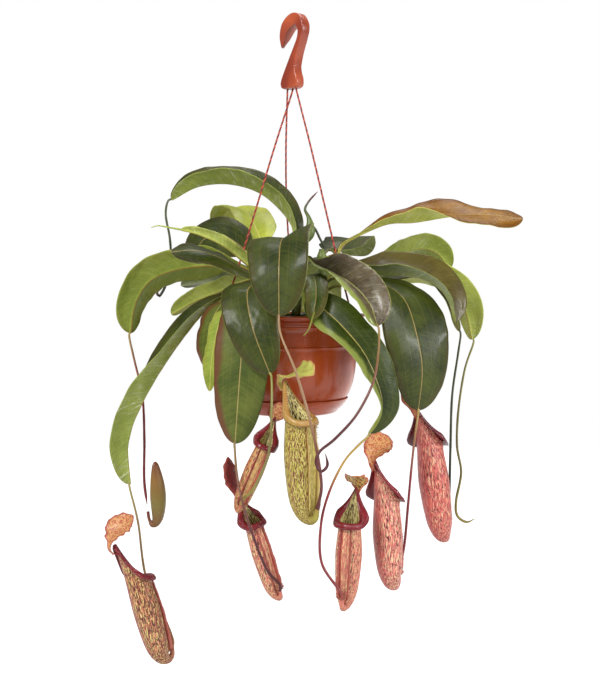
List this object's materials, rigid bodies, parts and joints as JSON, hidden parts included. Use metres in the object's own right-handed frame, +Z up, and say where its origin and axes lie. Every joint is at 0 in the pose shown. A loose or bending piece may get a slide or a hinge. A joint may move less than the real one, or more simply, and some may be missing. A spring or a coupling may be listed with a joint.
{
  "type": "hanging pitcher plant",
  "caption": "Tropical pitcher plant in a terracotta-coloured plastic hanging pot with saucer, cords and hook; lidded pitchers hang below on tendrils from broad leaves.",
  "frame": {"origin": "the inside of the hook's crown, where the hook rests on what it hangs from", "axes": "+Z up, +X to the right and -Y to the front of the side that shows best"},
  "size_m": [0.4919, 0.3162, 0.7659],
  "materials": {
    "terracotta_plastic": "satin",
    "hook_plastic": "satin",
    "hanger_cord": "satin",
    "soil": "matte",
    "stem": "matte",
    "leaf_dark": "satin",
    "leaf_green": "satin",
    "leaf_pale": "satin",
    "leaf_bronze": "satin",
    "leaf_brown": "satin",
    "tendril": "satin",
    "pitcher_cream": "satin",
    "pitcher_green": "satin",
    "pitcher_pink": "satin",
    "lip_red": "gloss",
    "lip_green": "gloss",
    "bud": "satin"
  },
  "bodies": {
    "root": {"cord_left": "hanger_cord", "cord_rear": "hanger_cord", "cord_right": "hanger_cord", "hook": "hook_plastic", "leaf_arch_high": "leaf_brown", "leaf_back_fold": "leaf_dark", "leaf_back_left": "leaf_green", "leaf_back_mid": "leaf_dark", "leaf_big_left": "leaf_green", "leaf_bright_narrow": "leaf_pale", "leaf_dark_back": "leaf_dark", "leaf_dark_left": "leaf_dark", "leaf_front_centre": "leaf_dark", "leaf_front_right": "leaf_dark", "leaf_front_small": "leaf_green", "leaf_grey_left": "leaf_green", "leaf_hang_front": "leaf_dark", "leaf_hang_pale": "leaf_pale", "leaf_hang_rear": "leaf_dark", "leaf_hang_red": "leaf_green", "leaf_long_left": "leaf_dark", "leaf_right_broad": "leaf_dark", "leaf_right_brown": "leaf_brown", "leaf_right_olive": "leaf_brown", "leaf_right_pale": "leaf_pale", "leaf_right_top": "leaf_pale", "leaf_right_under": "leaf_green", "leaf_small_left": "leaf_pale", "leaf_top_right": "leaf_bronze", "leaf_top_right_small": "leaf_dark", "lip_far_right": "lip_red", "lip_left": "lip_red", "lip_left_low": "lip_red", "lip_low_left": "lip_red", "lip_middle": "lip_green", "lip_right": "lip_red", "lip_right_far": "lip_red", "pitcher_far_right": "pitcher_pink", "pitcher_left": "pitcher_cream", "pitcher_left_low": "pitcher_cream", "pitcher_low_left": "pitcher_cream", "pitcher_middle": "pitcher_green", "pitcher_right": "pitcher_pink", "pitcher_right_far": "pitcher_pink", "pitcher_young": "bud", "pot": "terracotta_plastic", "saucer": "terracotta_plastic", "soil": "soil", "stem": "stem", "tendril_arch_high": "tendril", "tendril_far_right": "tendril", "tendril_left": "tendril", "tendril_left_low": "tendril", "tendril_low_left": "tendril", "tendril_middle": "tendril", "tendril_right": "tendril", "tendril_right_brown": "tendril", "tendril_right_far": "tendril", "tendril_right_pale": "tendril", "tendril_young": "tendril"}
  },
  "joints": []
}
